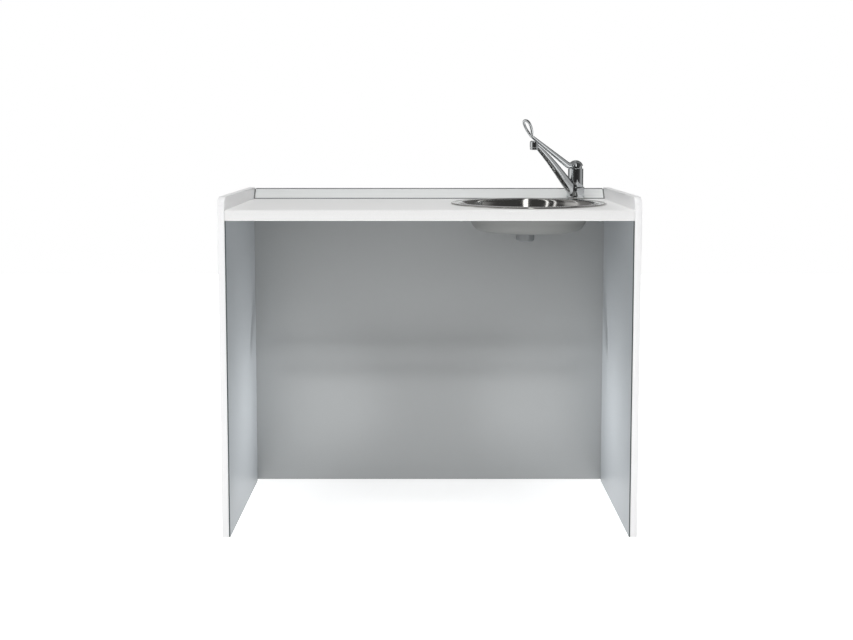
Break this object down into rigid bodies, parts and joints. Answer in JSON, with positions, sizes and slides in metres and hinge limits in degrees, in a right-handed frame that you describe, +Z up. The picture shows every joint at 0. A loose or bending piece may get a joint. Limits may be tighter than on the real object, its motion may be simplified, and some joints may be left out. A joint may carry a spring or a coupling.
{
  "type": "handwash sink unit",
  "caption": "Kneehole handwash unit: two side boards, a grey back, a worktop with a round inset bowl, and a single-lever mixer with a long loop lever.",
  "frame": {"origin": "on the floor, under the middle of the unit", "axes": "+X to the right seen from the user, +Y to the rear, +Z up"},
  "size_m": [1.086, 0.5, 1.0973],
  "materials": {
    "white_laminate": "satin white laminate",
    "grey_laminate": "satin silver-grey laminate",
    "anodised_profile": "fine brushed, anodised",
    "dark_lip": "matt soft lip",
    "chrome": "polished",
    "stainless": "polished rim, brushed bowl",
    "zinc_steel": "bright zinc",
    "copper": "drawn tube, slightly dulled",
    "rubber": "matt",
    "grey_plastic": "moulded, satin",
    "cream_plastic": "moulded, satin"
  },
  "bodies": {
    "root": {"left_side_panel": "white_laminate", "right_side_panel": "white_laminate", "left_edge_band": "white_laminate", "right_edge_band": "white_laminate", "worktop": "white_laminate", "left_inner_lining": "grey_laminate", "right_inner_lining": "grey_laminate", "back_panel": "grey_laminate", "upstand_profile": "anodised_profile", "upstand_top_lip": "dark_lip", "upstand_foot_lip": "dark_lip", "upstand_end_cap_left": "dark_lip", "upstand_end_cap_right": "dark_lip", "tap_body": "chrome", "cartridge_cover": "chrome", "waste_flange": "chrome", "sink_bowl": "stainless", "sink_clip_1": "zinc_steel", "sink_clip_2": "zinc_steel", "sink_clip_3": "zinc_steel", "sink_clip_4": "zinc_steel", "sink_clip_screw_1": "zinc_steel", "sink_clip_screw_2": "zinc_steel", "sink_clip_screw_3": "zinc_steel", "sink_clip_screw_4": "zinc_steel", "left_top_front_screw": "zinc_steel", "left_top_rear_screw": "zinc_steel", "left_back_upper_screw": "zinc_steel", "left_back_lower_screw": "zinc_steel", "right_top_front_screw": "zinc_steel", "right_top_rear_screw": "zinc_steel", "right_back_upper_screw": "zinc_steel", "right_back_lower_screw": "zinc_steel", "cartridge_nut": "zinc_steel", "tap_clamp_plate": "zinc_steel", "tap_backnut": "zinc_steel", "hot_inlet_union": "zinc_steel", "cold_inlet_union": "zinc_steel", "hot_tail": "copper", "cold_tail": "copper", "sink_rim_seal": "rubber", "waste_washer": "rubber", "tap_base_seal": "rubber", "tap_clamp_washer": "rubber", "waste_body": "grey_plastic", "waste_nut": "grey_plastic", "waste_pipe": "grey_plastic", "pipe_collar": "grey_plastic", "left_front_glide": "cream_plastic", "left_rear_glide": "cream_plastic", "right_front_glide": "cream_plastic", "right_rear_glide": "cream_plastic", "spout_glide_ring": "cream_plastic", "mixer_cartridge": "cream_plastic"},
    "spout_arm": {"spout": "chrome", "aerator": "chrome"},
    "mixer_carrier": {"cartridge_carrier": "cream_plastic", "lever_pin": "zinc_steel"},
    "lever": {"mixer_lever": "chrome"},
    "strainer": {"strainer_basket": "chrome"}
  },
  "joints": [
    {"name": "spout_swivel", "type": "hinge", "parent": "root", "child": "spout_arm", "pos_m": [0.4335, 0.196, 0.883], "axis": [0, 0, 1], "range_deg": [-50, 70]},
    {"name": "mixer_turn", "type": "hinge", "parent": "root", "child": "mixer_carrier", "pos_m": [0.4335, 0.196, 0.94], "axis": [0, 0, 1], "range_deg": [-45, 45]},
    {"name": "lever_lift", "type": "hinge", "parent": "mixer_carrier", "child": "lever", "pos_m": [0.4335, 0.196, 0.9557], "axis": [-0.6428, 0.766, 0], "range_deg": [0, 22]},
    {"name": "strainer_lift", "type": "slide", "parent": "root", "child": "strainer", "axis": [0, 0, 1], "range_m": [0, 0.06]}
  ]
}
